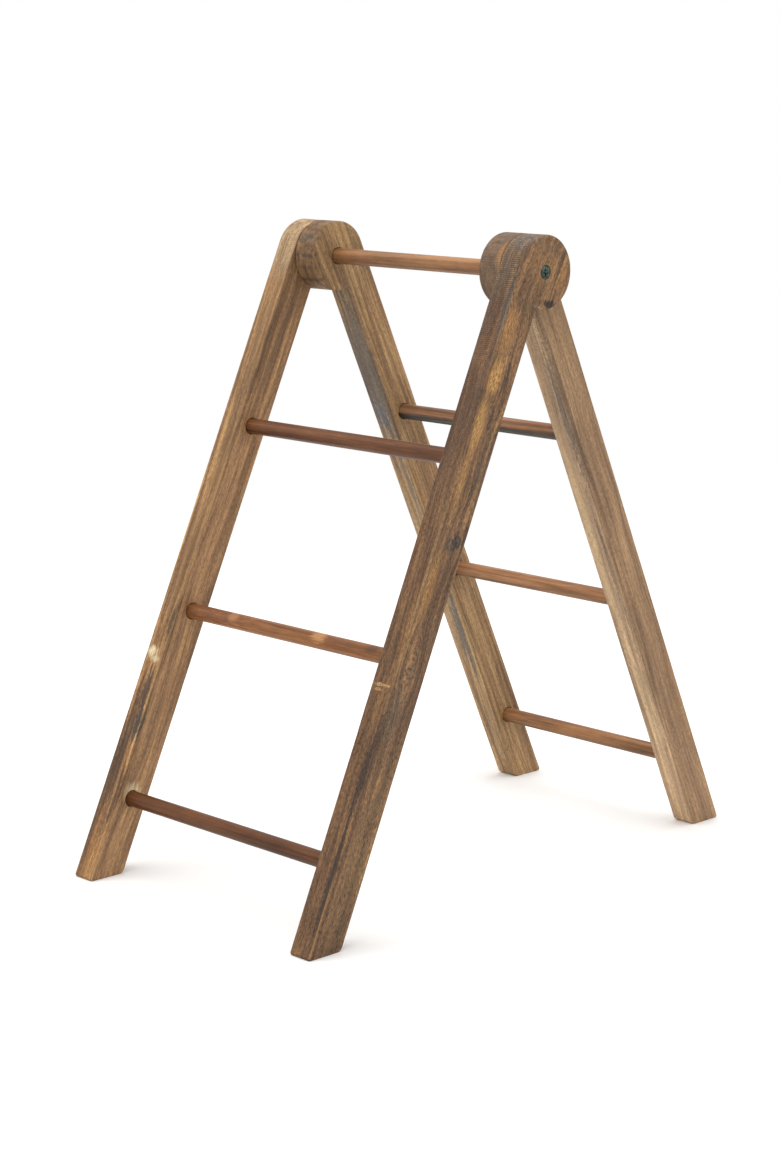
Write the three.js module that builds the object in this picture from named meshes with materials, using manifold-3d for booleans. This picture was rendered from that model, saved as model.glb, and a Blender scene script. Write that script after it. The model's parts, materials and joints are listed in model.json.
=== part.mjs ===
// Folding ladder shelf in stained hardwood. Two small ladders, the rear one nested inside
// the front one, turn on two wood screws through the round heads of their rails.
// Millimetres, +Z up, X along the rungs, front ladder towards -Y.
// The origin is on the floor, midway between the four feet.
import * as THREE from 'three';
import { mergeVertices } from 'three/addons/utils/BufferGeometryUtils.js';
import Module from 'manifold-3d';

const wasm = await Module();
wasm.setup();

// Stance
const hingeHeight = 454; // floor to the hinge axis
const legAngle = THREE.MathUtils.degToRad(24.3); // lean of each ladder from upright
const outerWidth = 256.8; // over the outer faces of the front heads
const frontSplay = Math.tan(THREE.MathUtils.degToRad(0.33)); // front rails part slightly downwards

// Rails
const railThickness = 20;
const railWidth = 28.5;
const headDiameter = 53.2; // round head at the hinge
const headGap = 0.6; // running gap between a front head and a rear head
const arris = 0.8; // small chamfer along the rail faces
const footCorner = 2.5; // softened corners of the sole
const arcSegments = 20; // per curve of the rail outline

// Rungs
const rungDiameter = 12;
const rungStations = [144.5, 293, 441.5]; // down the rail from the hinge axis
const rungSeat = 12; // depth of the blind bore that a rung is glued into
const rungChamfer = 0.6;
const roundSegments = 36;

// Pivot screws, countersunk with a cross recess
const screwDiameter = 5;
const screwLength = 50;
const screwHeadDiameter = 9.6;
const screwHeadRim = 0.4; // straight edge of the head above its cone
const screwHeadDepth = 2.7; // rim and cone together
const screwSunk = 0.3; // head below the face of the rail
const screwPointLength = 6;
const screwPointFlat = 0.4; // radius at the tip
const recessSpan = 5;
const recessWidth = 1;
const recessDepth = 1.7;

const fit = 0.3; // clearance between any two pieces that sit in each other
const boreRunOut = 1; // how far a cut starts outside the face it opens

const woodColour = 0x80634a;
const rungColour = 0x8f5f43;
const steelColour = 0x2d3432;

// Values that follow from the driving dimensions
const headRadius = headDiameter / 2;
const rungRadius = rungDiameter / 2;
const railInnerEdge = headRadius - railWidth; // the outer edge is tangent to the head
const railCentre = headRadius - railWidth / 2;
const frontHalfWidth = outerWidth / 2;
const rearHalfWidth = frontHalfWidth - railThickness - headGap;
const screwHeadTop = frontHalfWidth - screwSunk;

const xAxis = new THREE.Vector3(1, 0, 0);
const yAxis = new THREE.Vector3(0, 1, 0);

function toSolid(geometry) {
  const bare = geometry.clone();
  bare.deleteAttribute('normal');
  bare.deleteAttribute('uv');
  const welded = mergeVertices(bare, 1e-4);
  return new wasm.Manifold(new wasm.Mesh({
    numProp: 3,
    vertProperties: new Float32Array(welded.attributes.position.array),
    triVerts: new Uint32Array(welded.index.array),
  }));
}

function toGeometry(solid) {
  const mesh = solid.getMesh();
  const geometry = new THREE.BufferGeometry();
  geometry.setAttribute('position', new THREE.BufferAttribute(mesh.vertProperties, 3));
  geometry.setIndex(new THREE.BufferAttribute(mesh.triVerts, 1));
  geometry.computeVertexNormals();
  return geometry;
}

// A turned piece along X, from points [distance along X, radius] that start and end on the axis.
function turned(profile) {
  const points = profile.map(([along, radius]) => new THREE.Vector2(radius, along));
  const geometry = new THREE.LatheGeometry(points, roundSegments);
  geometry.rotateZ(-Math.PI / 2);
  return geometry;
}

function rod(start, end, radius) {
  return turned([[start, 0], [start, radius], [end, radius], [end, 0]]);
}

// The sole is level when the ladder leans, so it crosses the rail at a slant.
// Ladder axes: Y outwards from the stand, Z up along the rail, hinge axis at zero.
function soleHeight(y) {
  return -(hingeHeight + y * Math.sin(legAngle)) / Math.cos(legAngle);
}

function roundCorner(shape, before, corner, after, size) {
  const start = corner.clone().add(before.clone().sub(corner).setLength(size));
  const end = corner.clone().add(after.clone().sub(corner).setLength(size));
  shape.lineTo(start.x, start.y);
  shape.quadraticCurveTo(corner.x, corner.y, end.x, end.y);
}

function railOutline() {
  const headMeetsEdge = -Math.sqrt(headRadius ** 2 - railInnerEdge ** 2);
  const innerFoot = new THREE.Vector2(railInnerEdge, soleHeight(railInnerEdge));
  const outerFoot = new THREE.Vector2(headRadius, soleHeight(headRadius));
  const shoulder = new THREE.Vector2(railInnerEdge, headMeetsEdge);
  const tangent = new THREE.Vector2(headRadius, 0);
  const shape = new THREE.Shape();
  shape.moveTo(shoulder.x, shoulder.y);
  roundCorner(shape, shoulder, innerFoot, outerFoot, footCorner);
  roundCorner(shape, innerFoot, outerFoot, tangent, footCorner);
  shape.lineTo(tangent.x, tangent.y);
  const turn = Math.atan2(headMeetsEdge, railInnerEdge) + 2 * Math.PI;
  shape.absarc(0, 0, headRadius, 0, turn, false);
  return shape;
}

// A rail whose thickness runs from lowX to lowX + railThickness at the hinge. Its faces
// lean outwards towards the foot by splay, and its sole stays level.
function railBlank(lowX, side, splay) {
  const geometry = new THREE.ExtrudeGeometry(railOutline(), {
    depth: railThickness - 2 * arris,
    curveSegments: arcSegments,
    bevelThickness: arris,
    bevelSize: arris,
    bevelOffset: -arris,
    bevelSegments: 1,
  });
  const upRail = new THREE.Vector3(-side * splay, 0, 1);
  geometry.applyMatrix4(new THREE.Matrix4().makeBasis(yAxis, upRail, xAxis));
  return toSolid(geometry.translate(lowX + arris, 0, 0));
}

// Blind bore for a rung end, from the rail's inner face towards its outer one.
function rungBore(innerFace, side, y, z) {
  const ends = [innerFace - side * boreRunOut, innerFace + side * rungSeat];
  const bore = rod(Math.min(...ends), Math.max(...ends), rungRadius + fit);
  return toSolid(bore.translate(0, y, z));
}

// Half the clear width between a ladder's rails, at a distance down the rail.
function halfSpan(halfWidth, splay, station) {
  return halfWidth - railThickness + splay * station;
}

function rail({ halfWidth, splay, holdsTopRung }, side) {
  let solid = railBlank(Math.min(side * halfWidth, side * halfSpan(halfWidth, 0, 0)), side, splay);
  for (const station of rungStations) {
    const innerFace = side * halfSpan(halfWidth, splay, station);
    solid = solid.subtract(rungBore(innerFace, side, railCentre, -station));
  }
  if (holdsTopRung) {
    solid = solid.subtract(rungBore(side * halfSpan(halfWidth, splay, 0), side, 0, 0));
  }
  return toGeometry(solid.subtract(toSolid(mirrorToSide(screwBody(fit), side))));
}

function rung(clearHalfSpan) {
  const end = clearHalfSpan + rungSeat - fit;
  const radius = rungRadius - rungChamfer;
  return turned([
    [-end, 0], [-end, radius], [rungChamfer - end, rungRadius],
    [end - rungChamfer, rungRadius], [end, radius], [end, 0],
  ]);
}

// The screw at +X, head outwards, grown all round by the clearance asked for.
function screwBody(growth) {
  const headRadiusGrown = screwHeadDiameter / 2 + growth;
  const shankRadius = screwDiameter / 2 + growth;
  const top = screwHeadTop + (growth > 0 ? screwSunk + boreRunOut : 0);
  const tip = screwHeadTop - screwLength - growth;
  return turned([
    [tip, 0], [tip, screwPointFlat + growth], [tip + screwPointLength, shankRadius],
    [screwHeadTop - screwHeadDepth - growth, shankRadius],
    [screwHeadTop - screwHeadRim - growth, headRadiusGrown], [top, headRadiusGrown], [top, 0],
  ]);
}

// Cross recess: two tapered bars that narrow towards a blunt floor.
function recessCutter() {
  const bar = () => {
    const outline = new THREE.Shape();
    outline.moveTo(0, -recessSpan / 2);
    outline.lineTo(boreRunOut, -recessSpan / 2);
    outline.lineTo(boreRunOut, recessSpan / 2);
    outline.lineTo(0, recessSpan / 2);
    outline.lineTo(-recessDepth, recessSpan / 4);
    outline.lineTo(-recessDepth, -recessSpan / 4);
    outline.closePath();
    const geometry = new THREE.ExtrudeGeometry(outline, { depth: recessWidth, bevelEnabled: false });
    return geometry.translate(0, 0, -recessWidth / 2);
  };
  const upright = toSolid(bar());
  const across = toSolid(bar().rotateX(Math.PI / 2));
  return upright.add(across).translate([screwHeadTop, 0, 0]);
}

function mirrorToSide(geometry, side) {
  return side > 0 ? geometry : geometry.rotateZ(Math.PI);
}

function pivotScrew(side) {
  const solid = toSolid(screwBody(0)).subtract(recessCutter());
  return mirrorToSide(toGeometry(solid), side);
}

function topRung(clearHalfSpan) {
  let solid = toSolid(rung(clearHalfSpan));
  for (const side of [1, -1]) {
    solid = solid.subtract(toSolid(mirrorToSide(screwBody(fit), side)));
  }
  return toGeometry(solid);
}

const oiledWood = new THREE.MeshStandardMaterial({ color: woodColour, roughness: 0.62, metalness: 0 });
const stainedDowel = new THREE.MeshStandardMaterial({ color: rungColour, roughness: 0.5, metalness: 0 });
const blackSteel = new THREE.MeshStandardMaterial({ color: steelColour, roughness: 0.45, metalness: 0.8 });

function piece(name, geometry, material) {
  const mesh = new THREE.Mesh(geometry, material);
  mesh.name = name;
  return mesh;
}

// One ladder, built upright about the hinge axis and then leaned. The front ladder is
// turned half round the vertical, so its own +X side is the stand's left side.
function ladder(design) {
  const group = new THREE.Group();
  const sides = design.heading === 0 ? { right: 1, left: -1 } : { right: -1, left: 1 };
  for (const [sideName, side] of Object.entries(sides)) {
    group.add(piece(`${design.name}_rail_${sideName}`, rail(design, side), oiledWood));
  }
  rungStations.forEach((station, index) => {
    const span = halfSpan(design.halfWidth, design.splay, station);
    const step = piece(`${design.name}_rung_${index + 1}`, rung(span), stainedDowel);
    step.position.set(0, railCentre, -station);
    group.add(step);
  });
  group.position.z = hingeHeight;
  group.rotation.set(legAngle, 0, design.heading, 'ZYX');
  return group;
}

const front = {
  name: 'front', halfWidth: frontHalfWidth, splay: frontSplay, heading: Math.PI, holdsTopRung: false,
};
const rear = { name: 'rear', halfWidth: rearHalfWidth, splay: 0, heading: 0, holdsTopRung: true };

const shelf = new THREE.Group();
const rearLadder = ladder(rear);
rearLadder.add(piece('top_rung', topRung(halfSpan(rearHalfWidth, 0, 0)), stainedDowel));
rearLadder.add(piece('pivot_screw_right', pivotScrew(1), blackSteel));
rearLadder.add(piece('pivot_screw_left', pivotScrew(-1), blackSteel));
shelf.add(ladder(front), rearLadder);

export default shelf;
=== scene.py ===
# Folding ladder shelf: rails of stained, lightly sanded board, turned dowel rungs and
# blackened pivot screws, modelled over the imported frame. Metres, +Z up.
import json
import math
import bpy
from mathutils import Matrix, Vector


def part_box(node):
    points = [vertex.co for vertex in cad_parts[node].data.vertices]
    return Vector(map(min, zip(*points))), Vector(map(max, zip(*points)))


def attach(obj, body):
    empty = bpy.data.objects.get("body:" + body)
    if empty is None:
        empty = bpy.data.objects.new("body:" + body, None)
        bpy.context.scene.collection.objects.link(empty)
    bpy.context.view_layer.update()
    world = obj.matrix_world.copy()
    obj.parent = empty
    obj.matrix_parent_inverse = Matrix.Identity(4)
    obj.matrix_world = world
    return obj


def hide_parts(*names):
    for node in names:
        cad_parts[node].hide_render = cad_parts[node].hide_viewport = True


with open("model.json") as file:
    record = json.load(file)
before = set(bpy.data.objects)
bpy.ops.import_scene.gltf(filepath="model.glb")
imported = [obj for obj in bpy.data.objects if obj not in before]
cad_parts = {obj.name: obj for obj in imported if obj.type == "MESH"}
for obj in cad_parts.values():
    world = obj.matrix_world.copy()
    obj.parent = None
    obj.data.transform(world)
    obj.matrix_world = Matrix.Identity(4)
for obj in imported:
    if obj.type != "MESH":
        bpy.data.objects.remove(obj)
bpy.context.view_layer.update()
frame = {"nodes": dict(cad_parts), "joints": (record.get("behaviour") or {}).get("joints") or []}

mm = 0.001
beyondFace = 1 * mm  # how far a cut starts outside the face it opens
flatFace = 0.9  # a face counts as looking along an axis from this share of its normal


def boxCentre(node):
    low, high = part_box(node)
    return (low + high) / 2


def boxSize(node):
    low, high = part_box(node)
    return high - low


# what the frame says about the two ladders
hinge = Vector(frame["joints"][0]["pos_m"])
rungCount = len([node for node in frame["nodes"] if node.startswith("rear_rung_")])
firstRung = boxCentre("rear_rung_1") - hinge
lastRung = boxCentre("rear_rung_%d" % rungCount) - hinge
rungRun = lastRung - firstRung
lean = math.atan2(rungRun.y, -rungRun.z)  # of each ladder from upright
downRail = Vector((0, math.sin(lean), -math.cos(lean)))
outOfRail = Vector((0, math.cos(lean), math.sin(lean)))
stations = [(boxCentre("rear_rung_%d" % (i + 1)) - hinge).dot(downRail)
            for i in range(rungCount)]
railThickness = boxSize("rear_rail_right").x
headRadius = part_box("rear_rail_right")[1].z - hinge.z
railCentre = firstRung.dot(outOfRail)
railWidth = 2 * (headRadius - railCentre)
rungRadius = boxSize("rear_rung_1").z / 2
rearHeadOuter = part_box("rear_rail_right")[1].x
rungSeat = boxSize("rear_rung_1").x / 2 - (rearHeadOuter - railThickness)
frontGrowth = boxSize("front_rung_%d" % rungCount).x - boxSize("front_rung_1").x
frontSplay = math.atan2(frontGrowth / 2, stations[-1] - stations[0])
legLength = (hinge.z + railWidth) / math.cos(lean)
print("frame read: lean %.2f deg, rungs at %s m"
      % (math.degrees(lean), [round(s, 4) for s in stations]))


def pick(*pieces):
    if bpy.context.mode != "OBJECT":
        bpy.ops.object.mode_set(mode="OBJECT")
    bpy.ops.object.select_all(action="DESELECT")
    for piece in pieces:
        piece.select_set(True)
    bpy.context.view_layer.objects.active = pieces[0]


def lastMade(name):
    piece = bpy.context.object
    piece.name = name
    piece.data.name = name
    return piece


def copyOf(piece, name):
    twin = piece.copy()
    twin.data = piece.data.copy()
    bpy.context.collection.objects.link(twin)
    twin.name = name
    twin.data.name = name
    return twin


def applyPlace(piece):
    pick(piece)
    bpy.ops.object.transform_apply(location=True, rotation=True, scale=True)


def applyModifier(piece, kind, **settings):
    pick(piece)
    modifier = piece.modifiers.new(kind.lower(), kind)
    for key, value in settings.items():
        setattr(modifier, key, value)
    bpy.ops.object.modifier_apply(modifier=modifier.name)


def cutAway(piece, cutter, operation="DIFFERENCE"):
    applyModifier(piece, "BOOLEAN", operation=operation, solver="EXACT", object=cutter)
    bpy.data.objects.remove(cutter)


def editAll(piece, mode="EDGE"):
    pick(piece)
    bpy.ops.object.mode_set(mode="EDIT")
    bpy.ops.mesh.select_mode(type=mode)
    bpy.ops.mesh.select_all(action="SELECT")


def editOnly(piece, mode, wanted):
    editAll(piece, mode)
    bpy.ops.mesh.select_all(action="DESELECT")
    bpy.ops.object.mode_set(mode="OBJECT")
    mesh = piece.data
    parts = {"FACE": mesh.polygons, "EDGE": mesh.edges, "VERT": mesh.vertices}[mode]
    for part in parts:
        part.select = wanted(part)
    bpy.ops.object.mode_set(mode="EDIT")


def sliceAcross(piece, start, direction, step, count):
    editAll(piece)
    for i in range(count):
        bpy.ops.mesh.select_all(action="SELECT")
        bpy.ops.mesh.bisect(plane_co=start + direction * (step * i), plane_no=direction)
    bpy.ops.object.mode_set(mode="OBJECT")


def linear(hexColour):
    channels = [int(hexColour[i:i + 2], 16) / 255 for i in (1, 3, 5)]
    toned = [c / 12.92 if c <= 0.04045 else ((c + 0.055) / 1.055) ** 2.4 for c in channels]
    return (*toned, 1.0)


def addNode(tree, kind, inputs=None, **settings):
    # An input given as a node is linked from that node's first output in use. A Map Range takes its
    # value at 0 and its bounds at 1 to 4, and a Mix its factor at 0 and its two colours at 6 and 7.
    node = tree.nodes.new(kind)
    for key, value in settings.items():
        setattr(node, key, value)
    for key, value in (inputs or {}).items():
        if isinstance(value, bpy.types.Node):
            value = next(out for out in value.outputs if out.enabled)
        if isinstance(value, bpy.types.NodeSocket):
            tree.links.new(value, node.inputs[key])
        else:
            node.inputs[key].default_value = value
    return node


def newMaterial(name):
    material = bpy.data.materials.new(name)
    material.use_nodes = True
    tree = material.node_tree
    tree.nodes.clear()
    return material, tree


# pivot screw: a countersunk cross-recess wood screw, which the bores of the rails follow
screw = {
    "headRadius": boxSize("pivot_screw_right").z / 2,
    "length": boxSize("pivot_screw_right").x,
    "rim": 0.4 * mm,
    "coneDepth": 2.3 * mm,
    "shankRadius": 2.5 * mm,
    "coreRadius": 1.8 * mm,  # under the thread, which the wood hides
    "coreStep": 0.6 * mm,  # how gently the shank runs down to the core
    "coreRun": 30 * mm,
    "pointLength": 6 * mm,
    "pointEnd": 0.12,  # of the core's radius
    "recessSpan": 6.2 * mm,
    "recessWidth": 1.8 * mm,
    "recessDepth": 1.9 * mm,
    "recessProud": 0.1 * mm,  # so that the recess opens cleanly
    "recessEnd": (0.75, 0.45),  # its width and span at the bottom, of those at the face
    "edge": 0.15 * mm,
    "sharpFrom": math.radians(50),
    "smoothTo": math.radians(35),
    "room": 0.3 * mm,  # between the screw and the wood, and from its face to the rail's
    "sides": 64,
    "colours": ("#2f3834", "#5b6a62"),  # the film, and where it is rubbed
    "rubbedFrom": (0.4, 0.62),
    "grit": 0.8 * mm,  # drawn far coarser than the film's own, which would not show
    "patches": 3 * mm,
    "pitDepth": 0.05 * mm,
    "pitStrength": 0.25,
    "roughness": (0.36, 0.64),
    "metallic": 0.85,  # the film dulls the steel
}
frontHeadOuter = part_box("pivot_screw_right")[1].x + screw["room"]
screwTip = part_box("pivot_screw_right")[0].x  # how near the tips come to the middle


def makeScrew():
    # head outwards along +X with its face at x = 0
    bpy.ops.mesh.primitive_cylinder_add(
        vertices=screw["sides"], radius=screw["headRadius"], depth=screw["rim"],
        location=(-screw["rim"] / 2, 0, 0), rotation=(0, math.pi / 2, 0))
    body = lastMade("screwBody")
    applyPlace(body)
    shank = (screw["length"] - screw["rim"] - screw["coneDepth"] - screw["coreRun"]
             - screw["pointLength"])
    steps = [  # how far each next ring goes, and its size beside the last
        (screw["coneDepth"], screw["shankRadius"] / screw["headRadius"]),
        (shank, 1),
        (screw["coreStep"], screw["coreRadius"] / screw["shankRadius"]),
        (screw["coreRun"], 1),
        (screw["pointLength"] - screw["coreStep"], screw["pointEnd"]),
    ]
    editOnly(body, "FACE", lambda face: face.normal.x < -flatFace)
    for reach, size in steps:
        bpy.ops.mesh.extrude_region_move(TRANSFORM_OT_translate={"value": (-reach, 0, 0)})
        bpy.ops.transform.resize(value=(1, size, size))
    bpy.ops.object.mode_set(mode="OBJECT")
    cutAway(body, crossRecess())
    applyModifier(body, "BEVEL", width=screw["edge"], segments=2, limit_method="ANGLE",
                  angle_limit=screw["sharpFrom"])
    return body


def crossRecess():
    # two crossed bars, which narrow as they go in
    bars = []
    proud = screw["recessProud"]
    for i, turn in enumerate((0, math.pi / 2)):
        bpy.ops.mesh.primitive_cube_add(
            size=1, location=(proud - screw["recessDepth"] / 2, 0, 0),
            scale=(screw["recessDepth"] + 2 * proud, screw["recessWidth"], screw["recessSpan"]))
        bar = lastMade("bar%d" % i)
        applyPlace(bar)
        editOnly(bar, "FACE", lambda face: face.normal.x < -flatFace)
        bpy.ops.transform.resize(value=(1, *screw["recessEnd"]))
        bpy.ops.object.mode_set(mode="OBJECT")
        bar.rotation_euler.x = turn
        applyPlace(bar)
        bars.append(bar)
    cutAway(bars[0], bars[1], operation="UNION")
    return bars[0]


def screwHole(centre):
    # both screws' bores in one cutter: a long rod without its middle
    bpy.ops.mesh.primitive_cylinder_add(
        vertices=dowel["boreSides"], radius=screw["shankRadius"] + screw["room"], depth=1,
        location=centre, rotation=(0, math.pi / 2, 0))
    hole = lastMade("screwHole")
    applyPlace(hole)
    bpy.ops.mesh.primitive_cube_add(
        size=1, location=centre, scale=(2 * (screwTip - screw["room"]), 0.1, 0.1))
    middle = lastMade("middle")
    applyPlace(middle)
    cutAway(hole, middle)
    return hole


def screwFinish():
    # blackened carbon steel: a thin phosphate film, grey-green where it is rubbed
    material, tree = newMaterial("blackenedSteel")
    coords = addNode(tree, "ShaderNodeTexCoord").outputs["Object"]
    grit = addNode(tree, "ShaderNodeTexNoise", {
        "Vector": coords, "Scale": 1 / screw["grit"], "Detail": 4})
    patches = addNode(tree, "ShaderNodeTexNoise", {
        "Vector": coords, "Scale": 1 / screw["patches"], "Detail": 2})
    rubbedLow, rubbedHigh = screw["rubbedFrom"]
    rub = addNode(tree, "ShaderNodeMapRange", {0: patches, 1: rubbedLow, 2: rubbedHigh})
    film, rubbed = [linear(c) for c in screw["colours"]]
    colour = addNode(tree, "ShaderNodeMix", {0: rub, 6: film, 7: rubbed}, data_type="RGBA")
    smooth, rough = screw["roughness"]
    roughness = addNode(tree, "ShaderNodeMapRange", {0: grit, 3: smooth, 4: rough})
    bump = addNode(tree, "ShaderNodeBump", {
        "Height": grit, "Strength": screw["pitStrength"], "Distance": screw["pitDepth"]})
    shader = addNode(tree, "ShaderNodeBsdfPrincipled", {
        "Base Color": colour, "Roughness": roughness, "Normal": bump,
        "Metallic": screw["metallic"]})
    addNode(tree, "ShaderNodeOutputMaterial", {"Surface": shader})
    return material


# rail board: one length of board for every rail, round at the hinge end
board = {
    "headSides": 128,
    "boreSides": 64,
    "boreRoom": 0.25 * mm,  # round a rung in its bore
    "mouthWear": 0.35 * mm,
    "mouthMargin": 3 * mm,  # edges this near a rung are a bore's own, and are not sanded over
    "arrisRadius": 1.0 * mm,  # sanded over by hand
    "arrisSegments": 3,
    "footRadius": 2.9 * mm,  # softened ends of the sole
    "footSegments": 4,
    "sharpFrom": math.radians(30),
    "smoothTo": math.radians(40),
    "alongStep": 6 * mm,  # how often the board is sliced, for its uneven faces
    "acrossStep": 7 * mm,
    "acrossCuts": 3,
    "throughStep": 6 * mm,
    "throughCuts": 2,
    "unevenness": 0.2 * mm,
    "highestSwell": 1.0,  # of the unevenness, so that the faces are only ever worn down
    "unevenReach": 24 * mm,
    "soleKept": 0.2 * mm,  # this near the floor the board stays flat
    "weld": 0.005 * mm,
    "level": 0.01 * mm,  # two points count as level within this
}
unevenWood = bpy.data.textures.new("unevenWood", "CLOUDS")
unevenWood.noise_scale = board["unevenReach"]
unevenWood.noise_depth = 3


def boardBlank():
    # the outline of head and leg, upright with the hinge axis at the origin, given its thickness
    innerEdge = railCentre - railWidth / 2
    lowEnd = -math.sqrt(headRadius ** 2 - innerEdge ** 2)  # where the inner edge meets the head
    bpy.ops.mesh.primitive_circle_add(
        vertices=board["headSides"], radius=headRadius, location=(-railThickness / 2, 0, 0),
        rotation=(math.pi / 2, 0, math.pi / 2))
    blank = lastMade("blank")
    applyPlace(blank)
    gap = math.pi * headRadius / board["headSides"]  # half of a side
    editOnly(blank, "VERT", lambda v: v.co.z < -gap / 2 and v.co.y > innerEdge - gap)
    bpy.ops.mesh.delete(type="VERT")
    bpy.ops.object.mode_set(mode="OBJECT")
    for y, z in ((innerEdge, lowEnd), (headRadius, 0)):  # each end of the arc runs down the leg
        corner = Vector((-railThickness / 2, y, z))
        last = min(blank.data.vertices, key=lambda v: (v.co - corner).length)
        index = last.index
        editOnly(blank, "VERT", lambda v: v.index == index)
        bpy.ops.transform.translate(value=corner - last.co)
        bpy.ops.mesh.extrude_region_move(
            TRANSFORM_OT_translate={"value": (0, 0, -legLength - z)})
        bpy.ops.object.mode_set(mode="OBJECT")
    editAll(blank, "VERT")
    bpy.ops.mesh.edge_face_add()
    bpy.ops.mesh.extrude_region_move(TRANSFORM_OT_translate={"value": (railThickness, 0, 0)})
    bpy.ops.mesh.select_all(action="SELECT")
    bpy.ops.mesh.normals_make_consistent(inside=False)
    bpy.ops.object.mode_set(mode="OBJECT")
    return blank


def boreCutter(place, out, depth, radius, mouthDepth, mouthRadius, rimDepth=0):
    # a bore from the face at place, opening towards out along x: it widens at its mouth, and runs
    # straight again over rimDepth where a screw head sits below the face
    faceX, y, z = place
    length = depth - mouthDepth - rimDepth
    bpy.ops.mesh.primitive_cylinder_add(
        vertices=board["boreSides"], radius=radius, depth=length,
        location=(faceX - out * (mouthDepth + rimDepth + length / 2), y, z),
        rotation=(0, math.pi / 2, 0))
    bore = lastMade("bore")
    applyPlace(bore)
    editOnly(bore, "FACE", lambda face: face.normal.x * out > flatFace)
    reach = mouthDepth + beyondFace
    stages = [(reach, 1 + (mouthRadius / radius - 1) * reach / mouthDepth)]
    if rimDepth:
        stages = [(mouthDepth, mouthRadius / radius), (rimDepth + beyondFace, 1)]
    for reach, wider in stages:
        bpy.ops.mesh.extrude_region_move(TRANSFORM_OT_translate={"value": (out * reach, 0, 0)})
        bpy.ops.transform.resize(value=(1, wider, wider), center_override=(faceX, y, z))
    bpy.ops.object.mode_set(mode="OBJECT")
    return bore


def placing(ladderName, sideX, splay):
    # from the upright board to where the rail stands
    front = ladderName == "front"
    turn = Matrix.Rotation(math.pi, 4, "Z") if front else Matrix.Identity(4)
    own = -1 if front else 1
    parted = Matrix.Rotation(-own * math.copysign(splay, sideX), 4, "Y")
    across = Matrix.Translation((sideX * own, 0, 0)) @ parted
    return Matrix.Translation(hinge) @ turn @ Matrix.Rotation(lean, 4, "X") @ across


def boreRail(rail, ladderName, outward):
    # a blind bore for each rung on the inner face, and the screw's bore from the outer one
    half = railThickness / 2
    seatRadius = rungRadius + board["boreRoom"]
    seat = (rungSeat, seatRadius, board["mouthWear"], seatRadius + board["mouthWear"])
    for station in stations:
        cutAway(rail, boreCutter((-outward * half, railCentre, -station), -outward, *seat))
    shank = screw["shankRadius"] + screw["room"]
    if ladderName == "rear":  # the top rung sits on the hinge axis
        cutAway(rail, boreCutter((-outward * half, 0, 0), -outward, *seat))
        mouth = (board["mouthWear"], shank + board["mouthWear"])
    else:
        mouth = (screw["coneDepth"], screw["headRadius"] + screw["room"],
                 screw["rim"] + screw["room"])
    through = railThickness + beyondFace
    cutAway(rail, boreCutter((outward * half, 0, 0), outward, through, shank, *mouth))


def cutSole(rail):
    # cut level with the floor, and the two ends of the sole softened more than the long edges
    editAll(rail)
    bpy.ops.mesh.bisect(plane_co=(0, 0, 0), plane_no=(0, 0, 1), use_fill=True, clear_inner=True)
    bpy.ops.mesh.select_all(action="SELECT")
    bpy.ops.mesh.remove_doubles(threshold=board["weld"])

    def soleEnd(edge):
        a, b = [rail.data.vertices[i].co for i in edge.vertices]
        return max(abs(a.z), abs(b.z), abs(a.y - b.y)) < board["level"]

    editOnly(rail, "EDGE", soleEnd)
    bpy.ops.mesh.bevel(offset=board["footRadius"], segments=board["footSegments"], affect="EDGES")


def sandArrises(rail, place):
    # every sharp edge but the bores' own; the rail comes in edit mode
    bpy.ops.mesh.select_all(action="DESELECT")
    bpy.ops.mesh.edges_select_sharp(sharpness=board["sharpFrom"])
    bpy.ops.object.mode_set(mode="OBJECT")
    undo = place.inverted()
    holes = [(0, 0)] + [(railCentre, -station) for station in stations]
    for edge in rail.data.edges:
        at = undo @ rail.data.vertices[edge.vertices[0]].co
        nearest = min(math.hypot(at.y - y, at.z - z) for y, z in holes)
        if nearest < rungRadius + board["mouthMargin"]:
            edge.select = False
    bpy.ops.object.mode_set(mode="EDIT")
    bpy.ops.mesh.bevel(offset=board["arrisRadius"], segments=board["arrisSegments"], affect="EDGES")
    bpy.ops.object.mode_set(mode="OBJECT")


def wearFaces(rail, place):
    # sliced along, across and through, so that its faces can be as uneven as a sanded board's
    axes = place.to_3x3()
    along, across, through = board["alongStep"], board["acrossStep"], board["throughStep"]
    cuts = [  # the first cut, which way the next ones go, how far apart and how many
        (hinge + axes @ Vector((0, 0, headRadius - along)), (0, 0, -1), along,
         int((legLength + headRadius) / along)),
        (place @ Vector((0, headRadius - across, 0)), (0, -1, 0), across, board["acrossCuts"]),
        (place @ Vector((-through / 2, 0, 0)), (1, 0, 0), through, board["throughCuts"]),
    ]
    for start, direction, step, count in cuts:
        sliceAcross(rail, start, axes @ Vector(direction), step, count)
    offSole = rail.vertex_groups.new(name="offSole")
    offSole.add([v.index for v in rail.data.vertices if v.co.z > board["soleKept"]], 1, "REPLACE")
    applyModifier(rail, "DISPLACE", texture=unevenWood, strength=board["unevenness"],
                  mid_level=board["highestSwell"], texture_coords="LOCAL", vertex_group="offSole")
    rail.vertex_groups.clear()
    bpy.ops.object.shade_smooth_by_angle(angle=board["smoothTo"])
    applyModifier(rail, "WEIGHTED_NORMAL", keep_sharp=True, weight=80)


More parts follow.
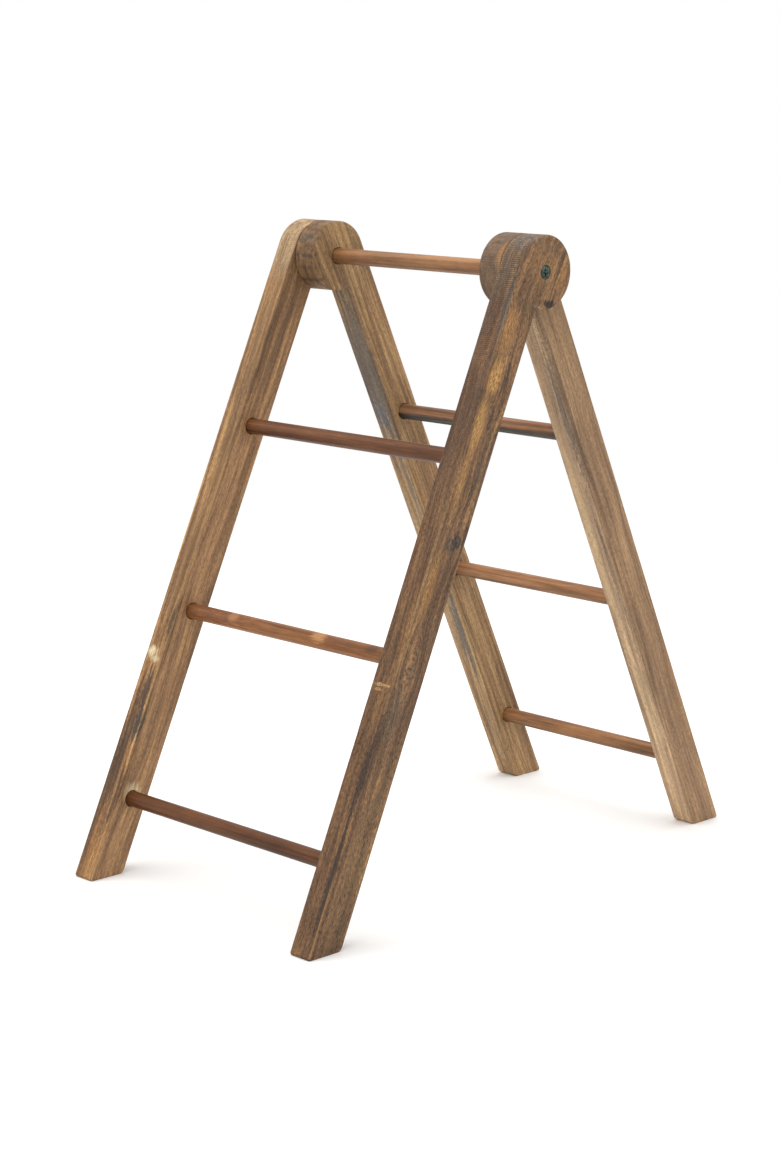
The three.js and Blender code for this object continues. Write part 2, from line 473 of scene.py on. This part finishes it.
def makeRail(blank, name):
    ladderName, sideName = name.split("_")[0], name.split("_")[2]
    side = 1 if sideName == "right" else -1
    if ladderName == "front":
        outward, splay, headOuter = -side, frontSplay, frontHeadOuter
    else:
        outward, splay, headOuter = side, 0, rearHeadOuter
    rail = copyOf(blank, name + "_board")
    boreRail(rail, ladderName, outward)
    place = placing(ladderName, side * (headOuter - railThickness / 2), splay)
    rail.matrix_world = place
    applyPlace(rail)
    cutSole(rail)
    sandArrises(rail, place)
    wearFaces(rail, place)
    rail.data.materials.clear()
    rail.data.materials.append(boardFinish(name, place))
    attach(rail, ladderName + "_ladder")
    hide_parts(name)
    print(name, "made,", len(rail.data.polygons), "faces")


# How each board took the stain. Its tones run dark to light, and ringTone is the thin dark lines.
# The edge tint is the colour on the sawn edges beside the flat faces, and the rim tint the same
# round the head. Each is partly how those faces took the stain and partly painted light and shade
# for the way those faces turn to the lamps. Shades are at the head and at the foot. A knot is its
# place from the hinge axis (through the thickness, across the width, along the rail) and its reach,
# all in mm, and how far the grain parts round it. A mark is its place and reach in the same way,
# its colour and strength.
boardTones = {
    "front_rail_right": {
        "tones": ("#4c3828", "#6a4d34", "#7f5e3f", "#9f7744"), "ringTone": "#46352a", "ring": 0.35,
        "ringPitch": 7, "pith": (-24, 38), "wander": 5.0,
        "flecks": 0.62, "hairs": 0.12, "saw": 1.0, "seed": 3.1,
        "edgeTintAndLight": (0.77, 0.7, 0.58), "rimTintAndLight": (1.14, 1.3, 1.4), "shades": (1.04, 0.88),
        "knots": [((-10, 17, -92), (18, 17, 36), 0.8), ((-10, 8, -203), (18, 15, 30), 0.8),
                  ((-10, 15, -300), (18, 14, 40), 0.75), ((-10, 0, -22), (18, 16, 20), 0.7)],
        "marks": [
            ((-9, 26.6, -38), (3.4, 2.6, 24), "#3c4144", 0.85),
            ((-2, 22, 20), (14, 12, 12), "#67625c", 0.55),
            ((-10, -12.5, -20), (4, 8.5, 4.2), "#28221e", 0.95),
            ((-10, -8, -25.6), (3, 8, 1.3), "#b59a7c", 0.8),
            ((-10, 0, 17), (3, 16, 5), "#5c4c3e", 0.4),
            ((-10, 18, -50), (4, 7, 18), "#9a7040", 0.6),
            ((-10, 17.5, -86), (4, 6, 15), "#ad824a", 0.75),
            ((-10, 19, -122), (4, 6, 22), "#ad824a", 0.7),
            ((-10, 20, -160), (4, 4, 26), "#9f7643", 0.55),
            ((-10, 7.5, -84), (4, 2.6, 17), "#3f2f25", 0.7),
            ((-10, 10, -112), (4, 2.4, 15), "#3f2f25", 0.65),
            ((-10, 4, -150), (4, 6, 34), "#4c4036", 0.5),
            ((-10, 12, -207), (4, 7, 6), "#473d33", 0.8),
            ((-10, 6, -202), (4, 7, 6), "#3d332b", 0.85),
            ((-10, 0, -195), (4, 7, 6), "#46382d", 0.8),
            ((-10, 14, -300), (4, 7, 13), "#5e4e3c", 0.5),
            ((-10, 17, -284), (4, 9, 2.2), "#8a6a46", 0.55),
            ((-10, 16, -330), (4, 8, 26), "#625342", 0.5),
            ((0, 27, -314), (11, 2.4, 1.3), "#c39a63", 0.75),
            ((2, 27, -317.5), (7, 2.4, 1.1), "#b88f5b", 0.6),
            ((-10, 2, 4), (3, 15, 15), "#856340", 0.6),
            ((-10, -12, 12), (3, 3, 14), "#3f3026", 0.6),
            ((-10, 4, -30), (3, 14, 9), "#58452f", 0.5),
            ((-10, -17, 4), (3, 4, 12), "#93683a", 0.5),
            ((-10, 24, 20), (4, 6, 6), "#4e443b", 0.6),
            ((-9.6, 26.2, -245), (1.1, 1.1, 100), "#a08159", 0.5),
            ((-10, 20, -240), (4, 4.5, 30), "#9f7643", 0.55),
            ((-8, 26.6, -376), (2.6, 3, 40), "#33261f", 0.8),
            ((-8, 26.6, -445), (3.2, 3, 60), "#30241d", 0.85),
            ((-10, 8, -430), (3, 12, 90), "#72593c", 0.5),
        ],
    },
    "front_rail_left": {
        "tones": ("#614831", "#816142", "#98734f", "#b38c5b"), "ringTone": "#6f5240", "ring": 0.26,
        "ringPitch": 4.5, "pith": (60, -8), "wander": 2.6,
        "flecks": 0.34, "hairs": 0.24, "saw": 0.35, "seed": 7.7,
        "edgeTintAndLight": (1.04, 1.02, 0.84), "rimTintAndLight": (1.3, 1.55, 1.75), "shades": (0.96, 0.98),
        "marks": [
            ((1, 26.6, -410), (11, 5, 110), "#7a5230", 0.8),
            ((1, 26.6, -480), (11, 5, 60), "#96693a", 0.5),
            ((-10, 12.4, -438), (3, 8.6, 8.6), "#c9b18c", 0.9),
            ((-6, 26.6, -386), (5.5, 4, 20), "#33302d", 0.95),
            ((-3, 26.6, -360), (7, 4, 22), "#4a3627", 0.9),
            ((2, 26.6, -400), (5, 4, 34), "#4d3825", 0.8),
            ((3, 26.6, -432), (5, 4, 30), "#43301f", 0.8),
            ((-7, 26.6, -440), (3, 4, 26), "#4a3626", 0.75),
            ((9, 26.6, -430), (3.4, 4, 70), "#543c26", 0.8),
            ((-6, 26.6, -306), (3.4, 4, 18), "#46331f", 0.85),
            ((-3, 26.6, -462), (3, 4, 20), "#56402c", 0.6),
            ((6, 26.6, -474), (2.2, 4, 44), "#573e27", 0.75),
            ((4, 26.6, -250), (3, 4, 70), "#6a4a33", 0.65),
            ((-4, 26.6, -190), (1.8, 4, 110), "#75532f", 0.6),
            ((0, 26.6, -110), (1.5, 4, 90), "#7d5c38", 0.6),
            ((-7, 26.6, -110), (1.6, 4, 90), "#7d5c38", 0.5),
            ((7, 26.6, -160), (1.4, 4, 120), "#60452c", 0.65),
            ((4, 26.6, -331), (7, 3, 4.5), "#d2bf9a", 0.9),
            ((-2, 26.6, -336), (6, 3, 3.6), "#d2bf9a", 0.8),
        ],
    },
    "rear_rail_right": {
        "tones": ("#67513c", "#85674a", "#967756", "#aa875f"), "ringTone": "#6f5544", "ring": 0.25,
        "ringPitch": 8, "pith": (-60, 4), "wander": 2.6,
        "flecks": 0.3, "hairs": 0.12, "saw": 0.5, "seed": 12.4,
        "edgeTintAndLight": (1.6, 1.8, 2.0), "rimTintAndLight": (0.5, 0.5, 0.52), "shades": (0.94, 1.12),
        "marks": [
            ((9, -14, 22), (3.2, 12, 10), "#a5743f", 0.7),
            ((6.5, -2, -120), (2.6, 4, 90), "#57504a", 0.75),
            ((7, -2, -270), (2.2, 4, 60), "#6a5a4c", 0.5),
            ((10, 4, -210), (3, 1.2, 70), "#6b5540", 0.4),
            ((10, 1, -100), (3, 3, 66), "#54463a", 0.6),
            ((-4, -2, -220), (4, 4, 70), "#c4a880", 0.5),
        ],
    },
    "rear_rail_left": {
        "tones": ("#624934", "#836442", "#9b7a52", "#b28f5e"), "ringTone": "#6c4f3a", "ring": 0.5,
        "ringPitch": 5.5, "pith": (4, 70), "wander": 1.8,
        "flecks": 0.34, "hairs": 0.2, "saw": 0.3, "seed": 19.9,
        "edgeTintAndLight": (1.0, 1.05, 1.12), "rimTintAndLight": (0.6, 0.56, 0.5), "shades": (1.0, 1.04),
        "marks": [
            ((0, -21, 12), (11, 5, 2.2), "#3b2c20", 0.8),
            ((0, -24, 3), (11, 5, 2.0), "#4a3524", 0.7),
            ((0, -24, -8), (11, 5, 2.6), "#3d2d22", 0.75),
            ((0, -13, 21), (11, 5, 3.0), "#4f463d", 0.7),
            ((0, -2, -96), (15, 4, 84), "#5e564e", 0.85),
            ((-1, -2, -142), (7, 4, 16), "#585c63", 0.75),
            ((4, -2, -200), (4, 4, 60), "#5e564e", 0.6),
            ((4, -2, -345), (7, 4, 46), "#4f4d4b", 0.75),
            ((-6, -2, -300), (4, 4, 90), "#9b8468", 0.5),
        ],
    },
}

# the layers of the grain: width of a streak in mm, how much it is drawn out, detail and roughness
grainLayers = {
    "bands": (9, 0.03, 2, 0.5),
    "streaks": (3.2, 0.04, 3, 0.5),
    "flecks": (0.8, 0.28, 2, 0.6),  # pores, drawn about twice their real width so that they show
    "hairs": (0.8, 0.03, 2, 0.5),
    "clouds": (30, 0.4, 3, 0.55),
}

grainWork = {
    "driftReach": 70 * mm,
    "toneStops": (0.32, 0.45, 0.54, 0.68),  # where the four tones stand on the noise
    "ringShows": (0.55, 0.97),
    "sawnFrom": (0.8, 0.55),  # a face turned this far from the flat faces is a sawn edge
    "rimZone": (-34 * mm, -14 * mm),  # up the head, where the rim's tint and painted light take over from the edges'
    "cloudDepth": 0.14,
    "markEdge": (1.5, 0.8),  # a mark fades in between these, in its own reach
    "markBreak": (1.1, 2.1, -0.2, 0.8),  # how far streaks and flecks fray its edge
    "sawPitch": 1.5 * mm,
    "sawFrom": -20 * mm,  # the saw marks were sanded off further down the board
    "sawTo": -200 * mm,
    "sawLeft": 0.25,
    "sawShade": 1.3,
    "wornEdge": 1.3 * mm,
    "wornPale": (0.46, 0.62),  # the clouds pick where an edge is rubbed pale or left dark
    "wornDark": (0.5, 0.36),
    "wornShare": 0.6,
    "poreDepth": 0.3 * mm,
    "poreStrength": 0.6,
    "roughness": (0.76, 0.56),
    "specular": 0.35,
}
noiseRange = (0.3, 0.7)  # what a noise texture seldom leaves


def wavesPerMetre(pitch):
    return 2 * math.pi / (20 * pitch)  # a wave texture turns twenty radians in each unit


def wayFrom(tree, own, place, reach):
    # the way from a spot on the piece and how far that is, both counted in the spot's reach
    way = addNode(tree, "ShaderNodeMapping", {
        "Vector": own, "Scale": [1 / (r * mm) for r in reach],
        "Location": [-p / r for p, r in zip(place, reach)]})
    return way, addNode(tree, "ShaderNodeVectorMath", {0: way}, operation="LENGTH")


def stainMark(tree, own, colour, breakUp, mark):
    place, reach, hexColour, strength = mark
    away = wayFrom(tree, own, place, reach)[1]
    ragged = addNode(tree, "ShaderNodeMath", {0: away, 1: breakUp}, operation="ADD")
    outside, inside = grainWork["markEdge"]
    share = addNode(tree, "ShaderNodeMapRange", {
        0: ragged, 1: outside, 2: inside, 3: 0, 4: strength}, interpolation_type="SMOOTHSTEP")
    return addNode(tree, "ShaderNodeMix", {0: share, 6: colour, 7: linear(hexColour)},
                   data_type="RGBA")


def partGrain(tree, own, grain, knot):
    # spreads the grain's own places across the width, so that its lines flow round a knot
    place, reach, push = knot
    way, away = wayFrom(tree, own, place, reach)
    share = addNode(tree, "ShaderNodeMapRange", {0: away, 1: 1, 2: 0, 3: 0, 4: push},
                    interpolation_type="SMOOTHSTEP")
    aside = addNode(tree, "ShaderNodeVectorMath", {0: way, 1: (0, reach[1] * mm, 0)},
                    operation="MULTIPLY")
    parted = addNode(tree, "ShaderNodeVectorMath", {0: aside, "Scale": share}, operation="SCALE")
    return addNode(tree, "ShaderNodeVectorMath", {0: grain, 1: parted}, operation="SUBTRACT")


def wornEdges(tree, axes):
    # one along the arrises of the leg and round the head, nought on the faces
    steps = [  # each is made from those before it, called by their names
        ("off", "SUBTRACT", "y", railCentre), ("fromCentre", "ABSOLUTE", "off", 0),
        ("legEdge", "SUBTRACT", "fromCentre", railWidth / 2), ("leg", "MAXIMUM", "legEdge", "z"),
        ("yy", "MULTIPLY", "y", "y"), ("zz", "MULTIPLY", "z", "z"), ("rr", "ADD", "yy", "zz"),
        ("r", "SQRT", "rr", 0), ("head", "SUBTRACT", "r", headRadius),
        ("outline", "MINIMUM", "leg", "head"), ("xx", "ABSOLUTE", "x", 0),
        ("side", "SUBTRACT", "xx", railThickness / 2),
    ]
    made = dict(axes)
    for name, operation, a, b in steps:
        made[name] = addNode(tree, "ShaderNodeMath", {0: made.get(a, a), 1: made.get(b, b)},
                             operation=operation)
    worn = grainWork["wornEdge"]
    for name in ("outline", "side"):
        made[name] = addNode(tree, "ShaderNodeMapRange", {0: made[name], 1: -worn, 2: -worn / 4},
                             interpolation_type="SMOOTHSTEP")
    return addNode(tree, "ShaderNodeMath", {0: made["outline"], 1: made["side"]},
                   operation="MULTIPLY")


def boardFinish(name, place):
    # walnut stain wiped on a ring-porous board: long soft bands, thin dark rings and open pores
    # under a dull sheen
    tone = boardTones[name]
    seed = tone["seed"]
    dark, mid, light, gold = [linear(c) for c in tone["tones"]]
    ringTone = linear(tone["ringTone"])
    material, tree = newMaterial("walnutStainAndEdgeLight_" + name)
    undo = place.inverted()
    texture = addNode(tree, "ShaderNodeTexCoord")
    own = addNode(tree, "ShaderNodeMapping", {
        "Vector": texture.outputs["Object"], "Location": undo.to_translation(),
        "Rotation": undo.to_euler()})
    split = addNode(tree, "ShaderNodeSeparateXYZ", {0: own})
    axes = dict(zip("xyz", split.outputs))
    facing = addNode(tree, "ShaderNodeSeparateXYZ", {0: texture.outputs["Normal"]})
    flat = addNode(tree, "ShaderNodeMath", {0: facing}, operation="ABSOLUTE")
    isFlat, isSawn = grainWork["sawnFrom"]
    sawnEdge = addNode(tree, "ShaderNodeMapRange", {0: flat, 1: isFlat, 2: isSawn})

    # the grain wanders a few mm from side to side down the board
    slow = addNode(tree, "ShaderNodeMapping", {
        "Vector": own, "Location": (seed, seed, 0), "Scale": (1, 1, 0.55)})
    drift = addNode(tree, "ShaderNodeTexNoise", {
        "Vector": slow, "Scale": 1 / grainWork["driftReach"], "Detail": 2}).outputs["Color"]
    sway = addNode(tree, "ShaderNodeVectorMath", {0: drift, 1: (0.5, 0.5, 0.5)},
                   operation="SUBTRACT")
    reach = tone["wander"] * mm * 4  # the noise seldom sways by more than a quarter
    moved = addNode(tree, "ShaderNodeVectorMath", {0: sway, 1: (reach, reach, 0), 2: own},
                    operation="MULTIPLY_ADD")
    for knot in tone.get("knots", []):
        moved = partGrain(tree, own, moved, knot)
    layer = {}
    for i, (key, (width, stretch, detail, roughness)) in enumerate(grainLayers.items()):
        drawn = addNode(tree, "ShaderNodeMapping", {
            "Vector": moved, "Location": (seed, seed + i, seed * 0.3), "Scale": (1, 1, stretch)})
        layer[key] = addNode(tree, "ShaderNodeTexNoise", {
            "Vector": drawn, "Scale": 1 / (width * mm), "Detail": detail, "Roughness": roughness})
    pithX, pithY = tone["pith"]
    ringSpace = addNode(tree, "ShaderNodeMapping", {
        "Vector": moved, "Location": (-pithX * mm, -pithY * mm, seed), "Scale": (1, 1, 0.1)})
    rings = addNode(tree, "ShaderNodeTexWave", {
        "Vector": ringSpace, "Scale": wavesPerMetre(tone["ringPitch"] * mm), "Distortion": 2.5,
        "Detail": 3.0, "Detail Scale": 0.5, "Detail Roughness": 0.6},
        wave_type="RINGS", rings_direction="Z", wave_profile="SAW")

    # colour: bands and streaks pick the tone, rings darken it, flecks and hairs break it up
    mixed = addNode(tree, "ShaderNodeMath", {0: layer["bands"], 1: layer["streaks"]},
                    operation="ADD")
    halved = addNode(tree, "ShaderNodeMath", {0: mixed, 1: 0.5}, operation="MULTIPLY")
    ramp = addNode(tree, "ShaderNodeValToRGB", {"Fac": halved})
    stops = ramp.color_ramp.elements
    places = grainWork["toneStops"]
    stops[0].position, stops[0].color = places[0], dark
    stops[1].position, stops[1].color = places[1], mid
    for position, colour in zip(places[2:], (light, gold)):
        stops.new(position).color = colour
    faint, full = grainWork["ringShows"]
    ringLine = addNode(tree, "ShaderNodeMapRange", {
        0: rings, 1: faint, 2: full, 3: 0, 4: tone["ring"]})
    colour = addNode(tree, "ShaderNodeMix", {0: ringLine, 6: ramp, 7: ringTone}, data_type="RGBA")
    # painted light and shade: the sawn edges and the head's rim take their own tint, partly the
    # stain and partly light falling differently on faces turned another way
    rimFoot, rimTop = grainWork["rimZone"]
    rim = addNode(tree, "ShaderNodeMapRange", {0: axes["z"], 1: rimFoot, 2: rimTop})
    edgeTintAndLight = addNode(tree, "ShaderNodeMix", {
        0: rim, 6: (*tone["edgeTintAndLight"], 1), 7: (*tone["rimTintAndLight"], 1)}, data_type="RGBA")
    colour = addNode(tree, "ShaderNodeMix", {0: sawnEdge, 6: colour, 7: edgeTintAndLight},
                     data_type="RGBA", blend_type="MULTIPLY")
    ragged = addNode(tree, "ShaderNodeMath", {0: layer["streaks"], 1: 2.2, 2: layer["flecks"]},
                     operation="MULTIPLY_ADD")
    breakUp = addNode(tree, "ShaderNodeMapRange",
                      dict(enumerate((ragged, *grainWork["markBreak"]))))
    for mark in tone["marks"]:
        colour = stainMark(tree, own, colour, breakUp, mark)
    shades = [(layer[key], *noiseRange, 1 - depth, 1 + depth) for key, depth in (
        ("flecks", tone["flecks"]), ("hairs", tone["hairs"]), ("clouds", grainWork["cloudDepth"]))]
    shades.append((axes["z"], 0, -legLength, *tone["shades"]))
    for ranges in shades:
        shade = addNode(tree, "ShaderNodeMapRange", dict(enumerate(ranges)))
        colour = addNode(tree, "ShaderNodeMix", {0: 1.0, 6: colour, 7: shade},
                         data_type="RGBA", blend_type="MULTIPLY")

    # saw marks cross the sawn edges, where the sanding missed them
    saw = addNode(tree, "ShaderNodeTexWave", {
        "Vector": own, "Scale": wavesPerMetre(grainWork["sawPitch"]), "Distortion": 1.6,
        "Detail": 2, "Detail Scale": 1.5}, wave_type="BANDS", bands_direction="Z")
    kept = addNode(tree, "ShaderNodeMapRange", {
        0: axes["z"], 1: grainWork["sawTo"], 2: grainWork["sawFrom"],
        3: grainWork["sawLeft"] * tone["saw"], 4: tone["saw"]})
    torn = addNode(tree, "ShaderNodeMapRange", {
        0: layer["hairs"], 1: 0.4, 2: 0.6, 3: 0.25, 4: 1})  # the hairs of the grain break them up
    for share in (kept, torn, sawnEdge):
        saw = addNode(tree, "ShaderNodeMath", {0: saw, 1: share}, operation="MULTIPLY")
    sawShade = addNode(tree, "ShaderNodeMath", {0: saw, 1: grainWork["sawShade"]},
                       operation="MULTIPLY")
    colour = addNode(tree, "ShaderNodeMix", {0: sawShade, 6: colour, 7: ringTone},
                     data_type="RGBA")

    worn = wornEdges(tree, axes)
    for key, wear in (("wornPale", gold), ("wornDark", dark)):
        low, high = grainWork[key]
        patchy = addNode(tree, "ShaderNodeMapRange", {
            0: layer["clouds"], 1: low, 2: high, 3: 0, 4: grainWork["wornShare"]})
        share = addNode(tree, "ShaderNodeMath", {0: worn, 1: patchy}, operation="MULTIPLY")
        colour = addNode(tree, "ShaderNodeMix", {0: share, 6: colour, 7: wear}, data_type="RGBA")

    height = addNode(tree, "ShaderNodeMath", {0: layer["flecks"], 1: 0.9, 2: saw},
                     operation="MULTIPLY_ADD")
    bump = addNode(tree, "ShaderNodeBump", {
        "Height": height, "Strength": grainWork["poreStrength"],
        "Distance": grainWork["poreDepth"]})
    rough = addNode(tree, "ShaderNodeMapRange",
                    dict(enumerate((layer["streaks"], *noiseRange, *grainWork["roughness"]))))
    shader = addNode(tree, "ShaderNodeBsdfPrincipled", {
        "Base Color": colour, "Roughness": rough, "Normal": bump,
        "Specular IOR Level": grainWork["specular"]})
    addNode(tree, "ShaderNodeOutputMaterial", {"Surface": shader})
    return material


# rungs: dowels of one size, each cut to its ladder; tones are dark to light, and last is the
# painted shade on the underside, as the share of its colour left there
rungTones = {
    "top_rung": ("#6d472d", "#906743", (0.8, 0.8, 0.8)),
    "front_rung_1": ("#4e2d18", "#6c4224", (0.8, 0.8, 0.8)),
    "front_rung_2": ("#6b4223", "#915f35", (1.0, 1.0, 1.0)),
    "front_rung_3": ("#45250d", "#603818", (0.8, 0.8, 0.8)),
    "rear_rung_1": ("#60442e", "#916648", (0.14, 0.27, 0.42)),
    "rear_rung_2": ("#755035", "#a6764e", (0.6, 0.6, 0.6)),
    "rear_rung_3": ("#734f31", "#a27249", (0.6, 0.6, 0.6)),
}

dowel = {
    "sides": 48,
    "boreSides": 32,
    "endRadius": 0.6 * mm,
    "sharpFrom": math.radians(45),
    "smoothTo": math.radians(40),
    "firstSlice": 2 * mm,
    "slice": 9 * mm,
    "unevenness": 0.1 * mm,
    # width of a streak in mm, how much it is drawn out, detail
    "layers": {"streaks": (3.2, 0.03, 4), "fibres": (0.8, 0.08, 2), "blotches": (14, 0.4, 2)},
    "toneShows": (0.36, 0.62),
    "shadeDepth": 0.15,
    "underEdge": (3.2 * mm, -0.8 * mm),  # the height at which the painted shade on the underside fades in
    "underRagged": 4 * mm,
    "markBreak": (0.2, 0.8, -0.2, 0.9),
    "fibreDepth": 0.12 * mm,
    "fibreStrength": 0.3,
    "roughness": (0.52, 0.38),
    "specular": 0.24,
    "marks": {  # as on the boards, from the middle of the rung
        "front_rung_2": [((-88, 0, 2), (70, 9, 9), "#633d26", 0.75),
                         ((36, -3, 4), (9, 6, 5), "#b07f4f", 0.8),
                         ((-58, -3, 4), (6, 5, 5), "#a87850", 0.6),
                         ((92, -3, 4), (7, 6, 5), "#3f2a1d", 0.5)],
        "top_rung": [((40, -3, 5), (46, 5, 3), "#b98456", 0.5)],
        "rear_rung_1": [((60, 0, 5), (26, 6, 4), "#9a5f3a", 0.5)],
    },
}


def dowelFinish(name):
    # red-brown stained birch dowel, sanded and waxed: fine long fibres under a satin sheen
    darkHex, lightHex, paintedUnderShade = rungTones[name]
    material, tree = newMaterial("stainedDowelUnderShade_" + name)
    coords = addNode(tree, "ShaderNodeTexCoord").outputs["Object"]
    own = addNode(tree, "ShaderNodeMapping", {"Vector": coords, "Location": -boxCentre(name)})
    layer = {}
    for i, (key, (width, stretch, detail)) in enumerate(dowel["layers"].items()):
        drawn = addNode(tree, "ShaderNodeMapping", {
            "Vector": coords, "Location": (1.7 * i, 0, 0), "Scale": (stretch, 1, 1)})
        layer[key] = addNode(tree, "ShaderNodeTexNoise", {
            "Vector": drawn, "Scale": 1 / (width * mm), "Detail": detail})
    allDark, allLight = dowel["toneShows"]
    share = addNode(tree, "ShaderNodeMapRange", {0: layer["streaks"], 1: allDark, 2: allLight})
    colour = addNode(tree, "ShaderNodeMix", {0: share, 6: linear(darkHex), 7: linear(lightHex)},
                     data_type="RGBA")
    depth = dowel["shadeDepth"]
    for key in ("fibres", "blotches"):
        shade = addNode(tree, "ShaderNodeMapRange",
                        dict(enumerate((layer[key], *noiseRange, 1 - depth, 1 + depth))))
        colour = addNode(tree, "ShaderNodeMix", {0: 1.0, 6: colour, 7: shade},
                         data_type="RGBA", blend_type="MULTIPLY")

    # painted shade: the underside of each rung is darkened and greyed, as if in shade from the
    # lamps above
    height = addNode(tree, "ShaderNodeSeparateXYZ", {0: own}).outputs["Z"]
    ragged = addNode(tree, "ShaderNodeMath", {
        0: layer["streaks"], 1: dowel["underRagged"], 2: height}, operation="MULTIPLY_ADD")
    fromHeight, toHeight = dowel["underEdge"]
    under = addNode(tree, "ShaderNodeMapRange", {0: ragged, 1: fromHeight, 2: toHeight})
    undersideShade = addNode(tree, "ShaderNodeMix", {0: under, 6: (1, 1, 1, 1), 7: (*paintedUnderShade, 1)},
                   data_type="RGBA")
    colour = addNode(tree, "ShaderNodeMix", {0: 1.0, 6: colour, 7: undersideShade},
                     data_type="RGBA", blend_type="MULTIPLY")
    breakUp = addNode(tree, "ShaderNodeMapRange",
                      dict(enumerate((layer["fibres"], *dowel["markBreak"]))))
    for mark in dowel["marks"].get(name, []):
        colour = stainMark(tree, own, colour, breakUp, mark)

    bump = addNode(tree, "ShaderNodeBump", {
        "Height": layer["fibres"], "Strength": dowel["fibreStrength"],
        "Distance": dowel["fibreDepth"]})
    rough = addNode(tree, "ShaderNodeMapRange",
                    dict(enumerate((layer["streaks"], *noiseRange, *dowel["roughness"]))))
    shader = addNode(tree, "ShaderNodeBsdfPrincipled", {
        "Base Color": colour, "Roughness": rough, "Normal": bump,
        "Specular IOR Level": dowel["specular"]})
    addNode(tree, "ShaderNodeOutputMaterial", {"Surface": shader})
    return material


def makeRung(name):
    size, centre = boxSize(name), boxCentre(name)
    bpy.ops.mesh.primitive_cylinder_add(
        vertices=dowel["sides"], radius=rungRadius, depth=size.x, location=centre,
        rotation=(0, math.pi / 2, 0))
    rung = lastMade(name + "_dowel")
    applyPlace(rung)
    applyModifier(rung, "BEVEL", width=dowel["endRadius"], segments=2, limit_method="ANGLE",
                  angle_limit=dowel["sharpFrom"])
    if name == "top_rung":  # bored at both ends for the pivot screws
        cutAway(rung, screwHole(centre))
    sliceAcross(rung, centre - Vector((size.x / 2 - dowel["firstSlice"], 0, 0)), Vector((1, 0, 0)),
                dowel["slice"], int(size.x / dowel["slice"]))
    applyModifier(rung, "DISPLACE", texture=unevenWood, strength=dowel["unevenness"],
                  mid_level=board["highestSwell"], texture_coords="LOCAL")
    bpy.ops.object.shade_smooth_by_angle(angle=dowel["smoothTo"])
    rung.data.materials.clear()
    rung.data.materials.append(dowelFinish(name))
    ladder = "front_ladder" if name.startswith("front") else "rear_ladder"
    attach(rung, ladder)
    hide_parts(name)


# the pieces, in the order they are put together
blankBoard = boardBlank()
for name in ("front_rail_left", "front_rail_right", "rear_rail_left", "rear_rail_right"):
    makeRail(blankBoard, name)
bpy.data.objects.remove(blankBoard)

for name in rungTones:
    makeRung(name)
print("rungs made:", len(rungTones))

plainScrew = makeScrew()
steel = screwFinish()
for name, sign in (("pivot_screw_right", 1), ("pivot_screw_left", -1)):
    low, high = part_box(name)
    pivot = copyOf(plainScrew, name + "_steel")
    pivot.location = (high.x if sign > 0 else low.x, 0, hinge.z)
    pivot.rotation_euler.z = 0 if sign > 0 else math.pi
    applyPlace(pivot)
    bpy.ops.object.shade_smooth_by_angle(angle=screw["smoothTo"])
    pivot.data.materials.clear()
    pivot.data.materials.append(steel)
    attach(pivot, "rear_ladder")
    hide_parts(name)
bpy.data.objects.remove(plainScrew)
print("pivot screws made")

# floor, light and camera
studio = {
    "floorRadius": 2.2,
    "floorFade": (0.7, 2.0),
    "floorColour": "#f0efed",
    "floorRoughness": 0.9,
    "skyStrength": 1.0,
    "lampAim": (0, 0, 0.25),
    "lamps": {  # place, size, watts
        "keyLamp": ((-1.1, -1.7, 2.2), 2.0, 20),
        "topLamp": ((0.1, 0.1, 2.4), 2.4, 30),
    },
}

# where the camera stands: turned round the stand, raised, and how far off
view = {"turn": 46.147, "raise": 11.612, "roll": -0.103, "distance": 2.028,
        "lookAt": (-0.05447, 0.02228, 0.19816), "lens": 79.69}


def makeStudio():
    bpy.ops.mesh.primitive_circle_add(vertices=96, radius=studio["floorRadius"], fill_type="NGON")
    floor = lastMade("floor")
    material, tree = newMaterial("paleFloor")
    coords = addNode(tree, "ShaderNodeTexCoord").outputs["Object"]
    reach = addNode(tree, "ShaderNodeVectorMath", {0: coords}, operation="LENGTH").outputs["Value"]
    near, far = studio["floorFade"]
    seen = addNode(tree, "ShaderNodeMapRange", {
        "Value": reach, "From Min": near, "From Max": far, "To Min": 1, "To Max": 0},
        interpolation_type="SMOOTHERSTEP").outputs[0]
    shader = addNode(tree, "ShaderNodeBsdfPrincipled", {
        "Base Color": linear(studio["floorColour"]), "Roughness": studio["floorRoughness"],
        "Alpha": seen})
    addNode(tree, "ShaderNodeOutputMaterial", {"Surface": shader})
    floor.data.materials.append(material)
    world = bpy.data.worlds.new("studioSky")
    bpy.context.scene.world = world
    world.use_nodes = True
    sky = world.node_tree.nodes["Background"]
    sky.inputs["Color"].default_value = (1, 1, 1, 1)
    sky.inputs["Strength"].default_value = studio["skyStrength"]
    for name, (place, size, watts) in studio["lamps"].items():
        bpy.ops.object.light_add(type="AREA", location=place)
        lamp = bpy.context.object
        lamp.name = name
        lamp.data.size = size
        lamp.data.energy = watts
        aim = Vector(studio["lampAim"]) - lamp.location
        lamp.rotation_euler = aim.to_track_quat("-Z", "Y").to_euler()


def makeCamera():
    turn, rise = math.radians(view["turn"]), math.radians(view["raise"])
    away = math.cos(rise)
    back = Vector((math.sin(turn) * away, -math.cos(turn) * away, math.sin(rise)))
    bpy.ops.object.camera_add(location=Vector(view["lookAt"]) + back * view["distance"])
    camera = bpy.context.object
    roll = Matrix.Rotation(math.radians(view["roll"]), 3, "Z")
    aim = (-back).to_track_quat("-Z", "Y").to_matrix()
    camera.rotation_euler = (aim @ roll).to_euler()
    camera.data.lens = view["lens"]
    bpy.context.scene.camera = camera


makeStudio()
makeCamera()
bpy.context.scene.view_settings.view_transform = "Standard"
print("studio ready")
